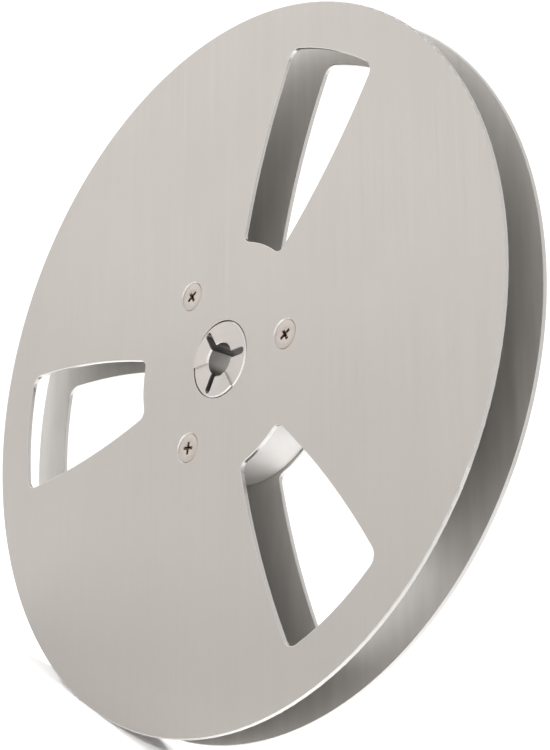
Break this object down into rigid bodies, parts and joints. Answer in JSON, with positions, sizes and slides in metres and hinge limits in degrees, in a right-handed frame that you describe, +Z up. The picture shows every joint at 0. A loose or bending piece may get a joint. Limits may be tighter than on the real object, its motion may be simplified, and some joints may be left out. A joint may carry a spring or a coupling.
{
  "type": "open reel tape spool",
  "caption": "Empty metal tape spool: two thin brushed discs with windows, screwed to a hub whose boss has a spindle bore with keyways and shallow ramps.",
  "frame": {"origin": "middle of the reel, on the spindle axis halfway between the two discs", "axes": "+Y along the spindle axis towards the rear of the reel, -Y towards the viewer, +Z up through the middle of one window, +X right"},
  "size_m": [0.1778, 0.014, 0.1778],
  "materials": {
    "flange": "straight-brushed, satin, with polished edges",
    "hub": "fine turned, satin",
    "screw": "plated, satin"
  },
  "bodies": {
    "root": {"front_flange": "flange", "rear_flange": "flange", "hub": "hub", "front_screw_1": "screw", "front_screw_2": "screw", "front_screw_3": "screw", "rear_screw_1": "screw", "rear_screw_2": "screw", "rear_screw_3": "screw"}
  },
  "joints": []
}
